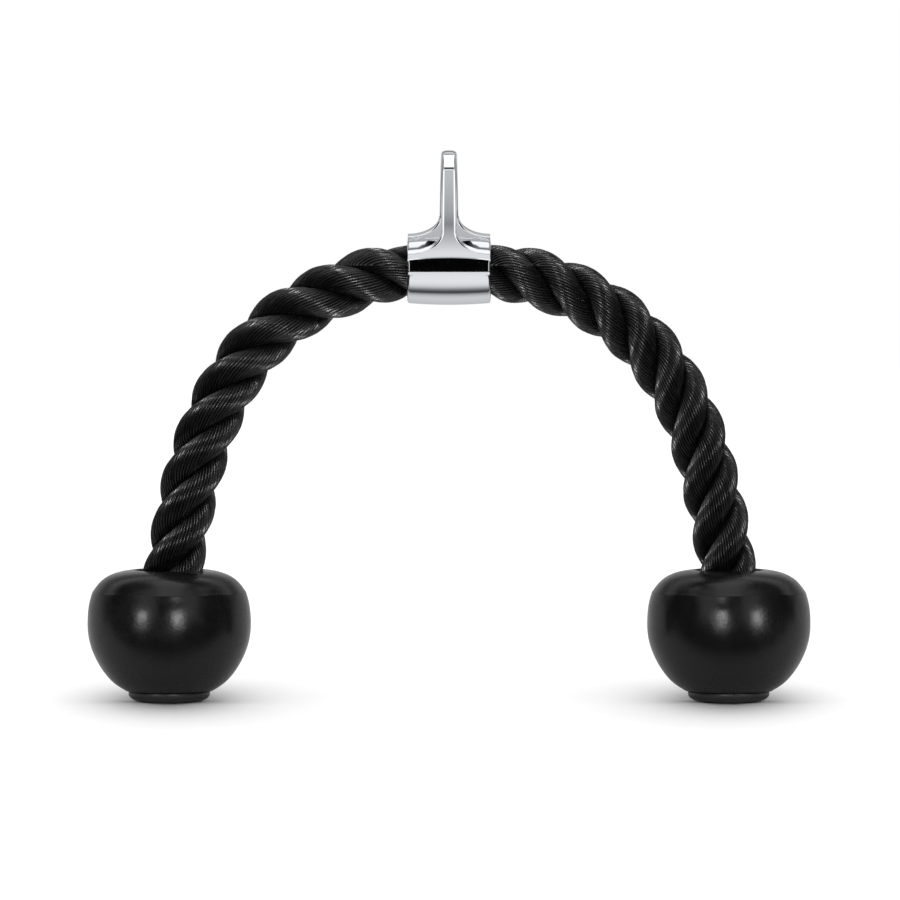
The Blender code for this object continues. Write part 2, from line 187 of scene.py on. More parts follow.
# Rope finish: a fade is its start, its end and what it gives before its start
ROPE_ROUGHNESS = 0.22
FIBRE_FADE = (0.3, 0.65, 0.35)
TONE_FADE = (0.0, 1.0, 0.7)
FIBRE_SHINE = (0.1, 0.75)
FIBRES_ACROSS = 90
FIBRES_ALONG = 46
FIBRE_SHIFT = 7.0
FIBRE_DARK = (0.0006, 0.0006, 0.0007)
FIBRE_LIGHT = (0.004, 0.004, 0.0044)
FIBRE_RELIEF = 0.12
YARN_ROUNDNESS = 0.6
YARN_BUMP = 0.0005

# Other finishes: roughness goes from low to high over the middle of a noise
NOISE_MIDDLE = (0.3, 0.7)
RUBBER_DARK = (0.0022, 0.0022, 0.0023)
RUBBER_LIGHT = (0.0055, 0.0055, 0.0058)
RUBBER_SPECULAR = 0.32
RUBBER_ROUGHNESS = (0.18, 0.30)
PLASTIC_COLOUR = (0.012, 0.012, 0.0125)
PLASTIC_ROUGHNESS = (0.30, 0.42)
CHROME_COLOUR = (0.79, 0.81, 0.84)
CHROME_ROUGHNESS = (0.035, 0.075)

# Turned metal inside the stoppers: name, colour and roughness, and how far the roughness strays
METALS = {
    "washer": ("washer_steel", (0.55, 0.56, 0.57), 0.35),
    "ferrule": ("ferrule_aluminium", (0.70, 0.71, 0.72), 0.40),
}
TURNED_SMOOTHER = 0.08
TURNED_ROUGHER = 0.10

# World: its light at the horizon, and what is added to that straight overhead
SKY_SIDE_LEVEL = 0.38
SKY_TOP_LEVEL = 1.28

# Floor: flat under the object, falling away in front and rising behind; mirrors see a painted
# reflection on it, a painted shade that fades between two places on Y, from a dark level to a grey one
FLOOR_HALF_SIDE = 8.0
FLOOR_COLOUR = 0.97
FLOOR_SLOPE = 0.22
FLOOR_FLAT = 0.016
FLOOR_FALL_LENGTH = 0.25
FLOOR_RISE_LENGTH = 0.07
FLOOR_STEPS = 40
FLOOR_PAINTED_REFLECTION = (-0.125, -0.045, 0.03, 0.5)

# Dome that only reflections show, with its light by the angle round the rope's direction: 0 in
# front, 90 overhead and 180 behind
DOME_RADIUS = 9.0
DOME_STEPS = 64
DOME_RINGS = 31
DOME_LEVELS = [
    (-180, 0.6), (-95, 0.5), (-85, 0.005), (45, 0.001), (60, 0.05), (113, 0.05), (117, 0.3),
    (121, 0.62), (124, 0.68), (130, 0.9), (134, 0.8), (138, 0.2), (150, 0.2), (158, 0.5), (180, 0.6),
]

# Shapes of light on the dome, each between the values where it fades: a box overhead, by angle and
# share sideways, strips in front on both sides, and the dark at the far left and right
BOX_LEVEL = 1.3
BOX_FRONT = (48, 53)
BOX_BACK = (112, 116)
BOX_SIDE = (0.17, 0.37)
STRIP_LEVEL = 0.8
STRIP_BOTTOM = (0.0, 0.02)
STRIP_BACK = (-0.3, -0.1)
STRIP_SIDE = (0.24, 0.32)
DARK_LEVEL = 0.02
DARK_BACK = (0.24, 0.30)
DARK_SIDE = (0.60, 0.75)

# Cards that the chrome mirrors, in pairs left and right of the middle: height, reach sideways,
# whether they face up, and light levels by distance behind the collar's middle
CARDS = {
    "far_card": (0.15, (0, 2.0), True, [(-4.0, 0.9), (-0.45, 0.9)]),
    "low_card": (0.15, (0, 0.09), True, [
        (-0.45, 0.93), (-0.17, 0.94), (-0.134, 0.90), (-0.106, 0.81), (-0.084, 0.62),
        (-0.073, 0.43), (-0.055, 0.17), (-0.039, 0.045), (-0.031, 0.12), (-0.022, 0.35),
        (-0.005, 0.61), (0.014, 0.73), (0.11, 0.62), (0.35, 0.5),
    ]),
    "side_card": (0.15, (0.185, 0.8), True, [(-0.35, 0.02), (0.35, 0.02)]),
    "strap_card": (0.262, (0, 0.10), True, [
        (-0.12, 0.62), (-0.088, 0.62), (-0.060, 0.44), (-0.050, 0.29), (-0.037, 0.6),
        (-0.027, 0.88), (0.0, 0.88),
    ]),
    "ring_card": (0.2788, (0, 0.026), True, [(-0.016, 0.6), (0.008, 0.55)]),
    "top_card": (0.30, (0, 0.035), False, [
        (-0.06, 1.3), (0.0, 1.15), (0.011, 1.25), (0.016, 0.6), (0.022, 0.38), (0.030, 0.45),
        (0.045, 0.62), (0.06, 0.62),
    ]),
}

# The strap card is brighter beyond a distance sideways and in front of a distance behind
MARGIN_LEVEL = 1.3
MARGIN_SIDE = (0.016, 0.021)
MARGIN_BACK = (-0.034, -0.030)

# The top card has a dark wedge: the distance behind of its front edge, that of its back edge as a
# sum, and its level, each from a first to a second value between two distances sideways
WEDGE_FRONT = (0.0110, 0.0225, -0.0075, -0.017)
WEDGE_BACK = [(0.0105, 0.0168, 0.045, -0.002), (0.0168, 0.0216, 0.0, -0.0085)]
WEDGE_LEVEL = (0.0115, 0.0216, 0.0, 0.2)
WEDGE_FRONT_BLUR = (-0.002, 0.002)
WEDGE_BACK_BLUR = (-0.002, 0.004)

# Lamps that light only the rope or only the rubber: place, target, power, spread, what they light
LAMP_SIDE = 0.16
LAMPS = {
    "front": ((0.014, -0.724, 0.125), (0, 0, 0.05), 1.3, pi, "rubber"),
    "front_left": ((-0.685, -0.72, 0.14), (-0.168, 0, 0.05), 0.028, radians(24), "rubber"),
    "front_right": ((0.73, -0.72, 0.14), (0.168, 0, 0.05), 0.038, radians(24), "rubber"),
    "raised": ((0.0, -0.75, 0.55), (0, 0, 0.05), 0.35, pi, "rubber"),
    "above": ((-0.10, -0.62, 0.72), (0.05, 0, 0.18), 2.6, pi, "rope"),
    "below": ((0.03, -0.72, 0.10), (0.05, 0, 0.18), 1.8, pi, "rope"),
}


def smooth_curve(points, start_way, end_way):
    """A cubic spline through points, with the given unit directions at its two ends."""
    points = np.array(points, dtype=float)
    spans = np.linalg.norm(np.diff(points, axis=0), axis=1)
    count = len(points)
    system = np.zeros((count, count))
    wanted = np.zeros((count, points.shape[1]))
    system[0, 0] = system[-1, -1] = 1
    wanted[0], wanted[-1] = start_way, end_way
    for i in range(1, count - 1):
        before, after = spans[i - 1], spans[i]
        system[i, i - 1 : i + 2] = after, 2 * (before + after), before
        wanted[i] = 3 * (
            after * (points[i] - points[i - 1]) / before
            + before * (points[i + 1] - points[i]) / after
        )
    slopes = np.linalg.solve(system, wanted)

    def at(share):
        """Points at shares of each span, as one array."""
        a, b = points[:-1, None], points[1:, None]
        m, n = (slopes[:-1] * spans[:, None])[:, None], (slopes[1:] * spans[:, None])[:, None]
        s = np.asarray(share)[None, :, None]
        near = (2 * s**3 - 3 * s**2 + 1) * a + (s**3 - 2 * s**2 + s) * m
        line = near + (3 * s**2 - 2 * s**3) * b + (s**3 - s**2) * n
        return np.concatenate([line.reshape(-1, points.shape[1]), points[-1:]])

    return at


def run_lengths(points):
    """How far along the line each of its points is."""
    return np.concatenate([[0], np.cumsum(np.linalg.norm(np.diff(points, axis=0), axis=1))])


def even_points(points, step):
    """The same line with points an even step apart."""
    along = run_lengths(points)
    places = np.linspace(0, along[-1], round(along[-1] / step) + 1)
    return np.stack([np.interp(places, along, column) for column in points.T], axis=1)


def rope_route(side):
    """The rope's centreline from the middle of the collar to its end in the stopper."""
    span, rise = STOPPER_X - MOUTH_X, COLLAR_HEIGHT - STOPPER_HEIGHT
    inner = [(MOUTH_X + out * span, STOPPER_HEIGHT + up * rise) for out, up in ARCH_SHARES[side]]
    corners = [(MOUTH_X, COLLAR_HEIGHT), *inner, (STOPPER_X, FLARE_BOTTOM)]
    arch = smooth_curve(corners, (1, 0), (0, -1))(np.linspace(0, 1, ARCH_STEPS, endpoint=False))
    line = np.array([(0, COLLAR_HEIGHT), *arch, (STOPPER_X, ROPE_END_HEIGHT)])
    line = even_points(line, ROUTE_STEP)
    return np.stack([SIDE_SIGN[side] * line[:, 0], np.zeros(len(line)), line[:, 1]], axis=1)


def unit(vectors):
    """The same directions with length 1."""
    return vectors / np.linalg.norm(vectors, axis=-1, keepdims=True)


def smooth_noise(generator, rows, columns, reach):
    """Noise from -1 to 1 for each column, smooth down the rows over about reach rows."""
    knots = generator.uniform(-1, 1, (rows // reach + 3, columns))
    places = np.arange(rows) / reach
    below = places.astype(int)
    share = smooth_step((places - below)[:, None], 0, 1)
    return knots[below] * (1 - share) + knots[below + 1] * share


def smooth_step(values, start, end):
    """From 0 at start to 1 at end without a kink, held beyond them."""
    share = np.clip((values - start) / (end - start), 0, 1)
    return share * share * (3 - 2 * share)


def rope_swell(centre):
    """The rope's size along its line: pinched in the collar and in the stopper, 1 between them."""
    from_collar = smooth_step(np.abs(centre[:, 0]), SWELL_START, SWELL_START + SWELL_LENGTH)
    from_stopper = smooth_step(centre[:, 2], FLARE_BOTTOM, STOPPER_HEIGHT)
    return (PINCH + (1 - PINCH) * np.minimum(from_collar, from_stopper))[:, None]


def strand_points(route, side, strand, generator):
    """Rings of points round one strand, with each column following a yarn's line."""
    centre = even_points(route, RING_STEP)
    places = np.linspace(0, run_lengths(route)[-1], len(centre))
    way = unit(np.gradient(centre, axis=0))
    front = np.array([0, -1, 0])
    outward = SIDE_SIGN[side] * np.cross(way, front)
    turn_rate = -SIDE_SIGN[side] * tau / LAY_LENGTHS[side]
    first_turn = -SIDE_SIGN[side] * tau / STRANDS * LAY_PHASES[side]

    def strand_angle(place):
        return first_turn + turn_rate * place + tau * strand / STRANDS

    angle = strand_angle(places)[:, None]
    radial = np.cos(angle) * outward + np.sin(angle) * front
    swell = rope_swell(centre)
    line = centre + STRAND_RING_RADIUS * swell * radial
    strand_way = unit(np.gradient(line, axis=0))
    radial = unit(radial - (radial * strand_way).sum(1, keepdims=True) * strand_way)
    sideways = np.cross(strand_way, radial)
    columns = YARNS * POINTS_PER_YARN
    # Each column stays on its yarn, and so it goes round as the yarns do
    turn = tau * places[:, None] / YARN_TURN_LENGTHS[side]
    theta = tau * np.arange(columns)[None] / columns - turn
    # Yarns are round on top, with a sharp groove between one and the next
    share = (np.arange(columns) % POINTS_PER_YARN) / POINTS_PER_YARN
    ridge = YARN_HEIGHT * (np.sqrt(np.abs(np.sin(pi * share))) - 1)
    wander = smooth_noise(generator, len(centre), YARNS, YARN_WANDER_RINGS)
    level = YARN_LEVEL_SHARE * generator.uniform(-1, 1, YARNS)
    uneven = YARN_WANDER * (wander + level - 1).repeat(POINTS_PER_YARN, axis=1)
    radius = STRAND_RADIUS * swell + ridge + uneven
    points = (
        line[:, None]
        + (radius * np.cos(theta))[..., None] * radial[:, None]
        + (radius * np.sin(theta))[..., None] * sideways[:, None]
    )
    return keep_off_neighbours(points, centre, way, outward, front, places, strand_angle)


def keep_off_neighbours(points, centre, way, outward, front, places, strand_angle):
    """Presses a strand flat where it would run into the strands beside it."""
    offset = points - centre[:, None]
    forward = (offset * way[:, None]).sum(2)
    out = (offset * outward[:, None]).sum(2)
    ahead = offset @ front
    # How far round the rope each point is from the strand's own line beside it
    angle = strand_angle(places[:, None] + forward)
    lean = (np.arctan2(ahead, out) - angle + pi) % tau - pi
    limit = pi / STRANDS - STRAND_GAP_ANGLE
    held = angle + np.clip(lean, -limit, limit)
    reach = np.hypot(out, ahead)
    return (
        centre[:, None]
        + forward[..., None] * way[:, None]
        + (reach * np.cos(held))[..., None] * outward[:, None]
        + (reach * np.sin(held))[..., None] * front
    )


def grid_faces(rows, columns, start=0):
    """Quads between rings of points, closed round each ring."""
    row = np.arange(rows - 1)[:, None]
    column = np.arange(columns)[None]
    after = (column + 1) % columns
    corners = [row * columns + column, row * columns + after]
    corners += [(row + 1) * columns + after, (row + 1) * columns + column]
    return start + np.stack(corners, axis=-1).reshape(-1, 4)


def grid_corners(rows, columns):
    """Row and column at each corner of a grid's quads, with the last column counted on."""
    row, column = np.divmod(np.arange((rows - 1) * columns), columns)
    across = np.stack([column, column + 1, column + 1, column], axis=1)
    return np.stack([row, row, row + 1, row + 1], axis=1), across


def new_object(name, data):
    """An object in the scene that shows the data."""
    thing = bpy.data.objects.new(name, data)
    bpy.context.scene.collection.objects.link(thing)
    return thing


def mesh_object(name, points, quads, ends=(), maps=None):
    """A smooth mesh object from points, quads and wider end faces, with its UV maps."""
    mesh = bpy.data.meshes.new(name)
    faces = [*quads.tolist(), *ends]
    mesh.from_pydata(points.tolist(), [], faces)
    mesh.shade_smooth()
    for map_name, corners in (maps or {}).items():
        layer = mesh.uv_layers.new(name=map_name)
        spare = len(mesh.loops) - len(corners)
        values = np.concatenate([corners, np.zeros((spare, 2))])
        layer.uv.foreach_set("vector", values.astype(np.float32).ravel())
    return new_object(name, mesh)


def make_rope(side, material):
    """Half of the rope as three laid strands of twisted yarns."""
    generator = np.random.default_rng(YARN_SEED + SIDE_SIGN[side])
    route = rope_route(side)
    points, quads, ends, fibre_map, bake_map = [], [], [], [], []
    columns = YARNS * POINTS_PER_YARN
    for strand in range(STRANDS):
        rings = strand_points(route, side, strand, generator)
        rows = len(rings)
        start = len(points) * rows * columns
        points.append(rings.reshape(-1, 3))
        quads.append(grid_faces(rows, columns, start))
        first = list(range(start, start + columns))
        last = [start + (rows - 1) * columns + i for i in range(columns)]
        ends += [first[::-1], last]
        row, column = grid_corners(rows, columns)
        u, v = column / columns, row / (rows - 1)
        # Each strand takes a part of the fibres' noise that no other strand uses
        own_part = 2 * (STRANDS * SIDE_SIGN[side] + strand)
        fibre_map.append(np.stack([u + own_part, v], axis=-1).reshape(-1, 2))
        bake_map.append(np.stack([(u + strand) / STRANDS, v], axis=-1).reshape(-1, 2))
    maps = {"OFBake": np.concatenate(bake_map), "yarns": np.concatenate(fibre_map)}
    rope = mesh_object(f"rope_{side}", np.concatenate(points), np.concatenate(quads), ends, maps)
    rope.data.materials.append(material)
    middle = ["rope_middle"] if side == "left" else []
    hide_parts(f"rope_bend_{side}", f"rope_arm_{side}", *middle)
    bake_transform(rope)
    return rope


def eye_distance(y, z, inset, shoulder):
    """Signed distance to the eye's outline seen along the rope: straight legs and a flatter crown."""
    up = np.maximum(z - EYE_HEIGHT + CROWN_RADIUS, 0)
    legs = np.abs(y) - EYE_DEPTH / 2 + inset
    return round_corner(legs, np.hypot(y, up) - CROWN_RADIUS + inset, shoulder)


def front_outline():
    """Half the eye seen from the front: a strap that flares to the sleeve's ends at its foot.

    It runs on far above and below the eye, where the other outlines end it.
    """
    wide = COLLAR_LENGTH / 2 - FLARE_INSET
    line = [(0, 2 * EYE_HEIGHT), (STRAP_HALF_WIDTH, 2 * EYE_HEIGHT)]
    for turn in np.linspace(0, pi / 2, FLARE_STEPS):
        out = wide - (wide - STRAP_HALF_WIDTH) * cos(turn)
        line.append((out, FLARE_FOOT_HEIGHT + FLARE_HEIGHT * (1 - sin(turn))))
    return np.array([*line, (wide, -EYE_HEIGHT)])


def front_distance(x, z):
    """Signed distance to the eye's outline seen from the front."""
    line = front_outline()
    x = np.abs(x)
    nearest = np.full(x.shape, np.inf)
    for a, b in zip(line, line[1:], strict=False):
        way = b - a
        share = np.clip(((x - a[0]) * way[0] + (z - a[1]) * way[1]) / (way @ way), 0, 1)
        nearest = np.minimum(nearest, np.hypot(x - a[0] - share * way[0], z - a[1] - share * way[1]))
    width = np.interp(-z, -line[:, 1], line[:, 0], left=-1)
    return np.where(x < width, -nearest, nearest)


def round_corner(a, b, radius):
    """The overlap of two forms, its edge rounded by a radius."""
    a, b = a + radius, b + radius
    inside = np.minimum(np.maximum(a, b), 0)
    return inside + np.hypot(np.maximum(a, 0), np.maximum(b, 0)) - radius


def soft_join(a, b, width):
    """Two forms joined with a fillet."""
    share = np.maximum(width - np.abs(a - b), 0) / width
    return np.minimum(a, b) - share * share * width / 4


def crown_distance(x, y, z):
    """Signed distance to the eye's rounded top as it shows from straight in front."""
    top = (EYE_HEIGHT - CROWN_RADIUS) * cos(EYE_LEAN) + CROWN_RADIUS
    up = y * sin(EYE_LEAN) + z * cos(EYE_LEAN) - top + CROWN_CORNER
    half_width = CROWN_HALF_WIDTH + CROWN_TAPER * np.maximum(-up, 0)
    out = np.maximum(np.abs(x) - half_width + CROWN_CORNER, 0)
    distance = np.hypot(out, np.maximum(up, 0)) - CROWN_CORNER
    return np.where(z > FLARE_TOP, distance, -CROWN_CORNER)


def collar_distance(x, y, z, front=None):
    """Signed distance to the collar and eye; front may give front_distance(x, z) worked out before."""
    front = front_distance(x, z) if front is None else front
    # The eye grows wider towards its back, but nowhere wider than the sleeve is long
    front = front - STRAP_DRAFT * (y + EYE_DEPTH / 2)
    front = np.maximum(front, np.abs(x) - COLLAR_LENGTH / 2 + FLARE_INSET)
    outer = np.maximum(eye_distance(y, z, 0, OUTER_SHOULDER), -z)
    hole = eye_distance(y, z, STRAP_THICKNESS, INNER_SHOULDER)
    edge = np.interp(z, [FLARE_FOOT_HEIGHT, FLARE_TOP], [FLARE_EDGE, STRAP_EDGE])
    loop = round_corner(np.maximum(outer, -hole), front, edge)
    loop = round_corner(loop, crown_distance(x, y, z), STRAP_EDGE)
    reach = np.hypot(y, z)
    barrel = COLLAR_RADIUS - COLLAR_BARREL * (2 * x / COLLAR_LENGTH) ** 2
    sleeve = round_corner(reach - barrel, np.abs(x) - COLLAR_LENGTH / 2, COLLAR_EDGE)
    fillet = np.interp(-y, [FOOT_START, EYE_DEPTH / 2], [FILLET, FOOT_FILLET])
    body = soft_join(loop, sleeve, fillet)
    return -soft_join(-body, reach - BORE_RADIUS, BORE_EDGE)


def step_apart(values, axis, margin=None):
    """Two views of a grid, one step apart along an axis, less a margin along the other two."""
    low = [slice(margin, -margin if margin else None)] * 3
    high = list(low)
    low[axis], high[axis] = STEP_ENDS
    return values[tuple(low)], values[tuple(high)]


def net_points(values):
    """Which cells of a grid the form's surface crosses, and the mean crossing in each of those."""
    shape = np.array(values.shape) - 1
    count, total = np.zeros(shape), np.zeros((*shape, 3))
    for axis in range(3):
        near, far = step_apart(values, axis)
        crossed = (near < 0) != (far < 0)
        share = np.where(crossed, near / np.where(crossed, near - far, 1), 0)
        others = [i for i in range(3) if i != axis]
        for first, second in product((0, 1), repeat=2):
            part = [slice(None)] * 3
            part[others[0]], part[others[1]] = STEP_ENDS[first], STEP_ENDS[second]
            mark = crossed[tuple(part)]
            count += mark
            total[..., axis] += share[tuple(part)]
            total[..., others[0]] += mark * first
            total[..., others[1]] += mark * second
    used = count > 0
    return used, np.argwhere(used) + total[used] / count[used][:, None]


def surface_net(values, origin, cell):
    """Points and quads where a grid of signed distances changes sign."""
    used, places = net_points(values)
    number = np.full(used.shape, -1)
    number[used] = np.arange(used.sum())
    quads = []
    for axis in range(3):
        near, far = step_apart(values < 0, axis, margin=1)
        edges = np.argwhere(near != far)
        leaving = near[tuple(edges.T)]
        others = [(axis + 1) % 3, (axis + 2) % 3]
        edges[:, others] += 1
        corners = []
        for first, second in ((1, 1), (0, 1), (0, 0), (1, 0)):
            at = edges.copy()
            at[:, others] -= (first, second)
            corners.append(number[tuple(at.T)])
        face = np.stack(corners, axis=1)
        quads += [face[leaving], face[~leaving][:, ::-1]]
    return origin + cell * places, np.concatenate(quads)


def slope_of(points):
    """The outward direction of the collar's surface near each point."""
    step = COLLAR_CELL / 50
    slope = np.zeros_like(points)
    for axis in range(3):
        ahead, behind = points.copy(), points.copy()
        ahead[:, axis] += step
        behind[:, axis] -= step
        slope[:, axis] = collar_distance(*ahead.T) - collar_distance(*behind.T)
    return unit(slope)


def make_collar(material):
    """The cast sleeve and eye as one skin, each point moved onto the true form."""
    low = np.array([-COLLAR_LENGTH / 2, -COLLAR_RADIUS, -COLLAR_RADIUS]) - FREE_CELLS * COLLAR_CELL
    high = np.array([COLLAR_LENGTH / 2, COLLAR_RADIUS, EYE_HEIGHT]) + FREE_CELLS * COLLAR_CELL
    x, y, z = (np.arange(a, b, COLLAR_CELL) for a, b in zip(low, high, strict=True))
    front = front_distance(x[:, None] + 0 * z, z[None] + 0 * x[:, None])[:, None]
    values = collar_distance(x[:, None, None], y[None, :, None], z[None, None], front)
    points, quads = surface_net(values, low, COLLAR_CELL)
    for _ in range(SETTLING_ROUNDS):
        points -= collar_distance(*points.T)[:, None] * slope_of(points)
    normals = slope_of(points)
    ahead, aside = cos(EYE_LEAN), sin(EYE_LEAN)
    turn = np.array([[1, 0, 0], [0, ahead, -aside], [0, aside, ahead]])
    points = points @ turn.T + (0, 0, COLLAR_HEIGHT)
    collar = mesh_object("collar", points, quads)
    collar.data.normals_split_custom_set_from_vertices((normals @ turn.T).tolist())
    collar.data.materials.append(material)
    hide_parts("eye_collar")
    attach(collar, "collar")


def arc(centre, radius, start, end, steps):
    """Points of a circle's arc, both ends included."""
    angles = np.linspace(start, end, steps + 1)
    return [(centre[0] + radius * cos(a), centre[1] + radius * sin(a)) for a in angles]


def turned(name, profile, x, material, closed=False):
    """A profile of (radius, height) points, running down its outer side, turned about Z at x."""
    profile = np.array(profile)
    angles = tau * np.arange(STOPPER_STEPS) / STOPPER_STEPS
    radius, height = profile[:, :1], profile[:, 1:]
    points = np.stack(
        [x + radius * np.cos(angles), radius * np.sin(angles), height + 0 * angles], axis=-1
    )
    rows = len(profile)
    quads = grid_faces(rows, STOPPER_STEPS)[:, ::-1]
    along = run_lengths(profile) / run_lengths(profile)[-1]
    row, column = grid_corners(rows, STOPPER_STEPS)
    u, v = column[:, ::-1] / STOPPER_STEPS, along[row[:, ::-1]]
    first = list(range(STOPPER_STEPS))
    last = [(rows - 1) * STOPPER_STEPS + i for i in first]
    ends = [first, last[::-1]] if closed else []
    maps = {"OFBake": np.stack([u, v], axis=-1).reshape(-1, 2)}
    thing = mesh_object(name, points.reshape(-1, 3), quads, ends, maps)
    thing.data.materials.append(material)
    return thing


def stopper_profile():
    """From inside the bore's mouth over the dome and down the side to the underside."""
    lip_centre = (MOUTH[0], MOUTH[1] - MOUTH_LIP)
    profile = [(BORE_RADIUS, BORE_BOTTOM), (BORE_RADIUS, FLARE_BOTTOM)]
    profile += arc(lip_centre, MOUTH_LIP, pi, pi / 2, LIP_STEPS)
    rim = (SHOULDER[0] - PARTING_STEP, SHOULDER[1] + PARTING_STEP)
    shares = np.linspace(0, 1, CURVE_STEPS, endpoint=False)
    dome = smooth_curve([MOUTH, *STOPPER_DOME, rim], *DOME_WAYS)
    side = smooth_curve([SHOULDER, *STOPPER_SIDE, UNDERSIDE], *SIDE_WAYS)
    profile += [*dome(shares)[1:], *side(shares)]
    pocket = CAP_PLUG_RADIUS + CAP_GAP
    profile += [(pocket, UNDERSIDE[1]), (pocket, POCKET_TOP), (BORE_RADIUS, BORE_BOTTOM)]
    return profile


def cap_profile():
    """From the middle of the rim's top over its rounded edge and down to the flat of the foot."""
    edge_centre = (CAP_RIM_RADIUS - CAP_RIM_EDGE, CAP_RIM_HEIGHT - CAP_RIM_EDGE)
    profile = [(CAP_CENTRE_RADIUS, CAP_RIM_HEIGHT), (edge_centre[0], CAP_RIM_HEIGHT)]
    profile += arc(edge_centre, CAP_RIM_EDGE, pi / 2, 0, CAP_EDGE_STEPS)[1:]
    low = CAP_RIM_HEIGHT - CAP_RIM_DEPTH
    for turn in np.linspace(0, pi / 2, CAP_FOOT_STEPS)[1:]:
        out = CAP_FOOT_RADIUS + (CAP_RIM_RADIUS - CAP_FOOT_RADIUS) * cos(turn)
        profile.append((out, low * (1 - sin(turn))))
    profile.append((CAP_CENTRE_RADIUS, 0))
    return profile


class Nodes:
    """A short way to write a material's or world's node sums."""

    def __init__(self, tree):
        self.tree = tree

    def add(self, kind, **settings):
        """A new node of a kind, with settings."""
        node = self.tree.nodes.new("ShaderNode" + kind)
        for name, value in settings.items():
            setattr(node, name, value)
        return node

    def wire(self, source, target):
        """Feeds a socket from another socket or with a plain value."""
        if isinstance(source, bpy.types.NodeSocket):
            self.tree.links.new(source, target)
        else:
            target.default_value = source

    def math(self, operation, *values):
        """One sum of plain values or sockets."""
        node = self.add("Math", operation=operation)
        for value, socket in zip(values, node.inputs, strict=False):
            self.wire(value, socket)
        return node.outputs[0]

    def split(self, vector):
        node = self.add("SeparateXYZ")
        self.wire(vector, node.inputs[0])
        return node.outputs

    def join(self, *values):
        node = self.add("CombineXYZ")
        for value, socket in zip(values, node.inputs, strict=True):
            self.wire(value, socket)
        return node.outputs[0]

    def noise(self, vector, *, scale, detail, roughness):
        node = self.add("TexNoise")
        sources = {"Vector": vector, "Scale": scale, "Detail": detail, "Roughness": roughness}
        for name, source in sources.items():
            self.wire(source, node.inputs[name])
        return node.outputs[0]

    def mix_colours(self, share, first, second):
        node = self.add("Mix", data_type="RGBA")
        sockets = [socket for socket in node.inputs if socket.enabled]
        self.wire(share, sockets[0])
        sockets[1].default_value = (*first, 1)
        sockets[2].default_value = (*second, 1)
        return next(socket for socket in node.outputs if socket.enabled)

    def bump(self, shader, height, *, distance, strength):
        """Roughens a shader's surface by a height."""
        node = self.add("Bump")
        sources = {"Height": height, "Distance": distance, "Strength": strength}
        for name, source in sources.items():
            self.wire(source, node.inputs[name])
        self.wire(node.outputs[0], shader.inputs["Normal"])

    def fade(self, value, start, end, low=0.0, high=1.0):
        """From low at start to high at end, held beyond them."""
        node = self.add("MapRange", interpolation_type="SMOOTHSTEP")
        for source, target in zip((value, start, end, low, high), node.inputs, strict=False):
            self.wire(source, target)
        return node.outputs["Result"]

    def ramp(self, value, stops):
        """A grey ramp through (position, level) stops."""
        node = self.add("ValToRGB")
        first, last = stops[0][0], stops[-1][0]
        elements = node.color_ramp.elements
        elements.remove(elements[-1])
        elements[0].position = 0
        elements[0].color = (*[stops[0][1]] * 3, 1)
        for place, level in stops[1:]:
            elements.new((place - first) / (last - first)).color = (level, level, level, 1)
        span = self.add("MapRange")
        for source, target in zip((value, first, last, 0.0, 1.0), span.inputs, strict=False):
            self.wire(source, target)
        self.tree.links.new(span.outputs["Result"], node.inputs[0])
        return node.outputs["Color"]


def new_material(name, colour, roughness, metallic=0.0):
    """A material with its plain values set, and the means to add detail to it."""
    material = bpy.data.materials.new(name)
    material.use_nodes = True
    shader = material.node_tree.nodes["Principled BSDF"]
    shader.inputs["Base Color"].default_value = (*colour, 1)
    shader.inputs["Roughness"].default_value = roughness
    shader.inputs["Metallic"].default_value = metallic
    return material, Nodes(material.node_tree), shader


def rope_material():
    """Round black yarns, each of its own tone, with short fibres that glint."""
    material, nodes, shader = new_material("rope", FIBRE_DARK, ROPE_ROUGHNESS)
    u, v, _ = nodes.split(nodes.add("UVMap", uv_map="yarns").outputs[0])
    place = nodes.math("MULTIPLY", u, YARNS)
    tone = nodes.add("TexWhiteNoise", noise_dimensions="1D")
    nodes.wire(nodes.math("FLOOR", place), tone.inputs["W"])
    tone = tone.outputs["Value"]
    along = nodes.math("MULTIPLY", v, FIBRES_ALONG)
    along = nodes.math("ADD", along, nodes.math("MULTIPLY", tone, FIBRE_SHIFT))
    across = nodes.math("MULTIPLY", u, FIBRES_ACROSS)
    fibres = nodes.noise(nodes.join(across, along, 0.0), scale=1.0, detail=2.0, roughness=0.6)
    bright = nodes.fade(fibres, *FIBRE_FADE)
    glint = nodes.math("MULTIPLY", bright, nodes.fade(tone, *TONE_FADE))
    nodes.wire(nodes.mix_colours(glint, FIBRE_DARK, FIBRE_LIGHT), shader.inputs["Base Color"])
    nodes.wire(nodes.fade(glint, 0.0, 1.0, *FIBRE_SHINE), shader.inputs["Specular IOR Level"])
    round_yarn = nodes.math("ABSOLUTE", nodes.math("SINE", nodes.math("MULTIPLY", place, pi)))
    round_yarn = nodes.math("POWER", round_yarn, YARN_ROUNDNESS)
    height = nodes.math("MULTIPLY_ADD", fibres, FIBRE_RELIEF, round_yarn)
    nodes.bump(shader, height, distance=YARN_BUMP, strength=1.0)
    return material


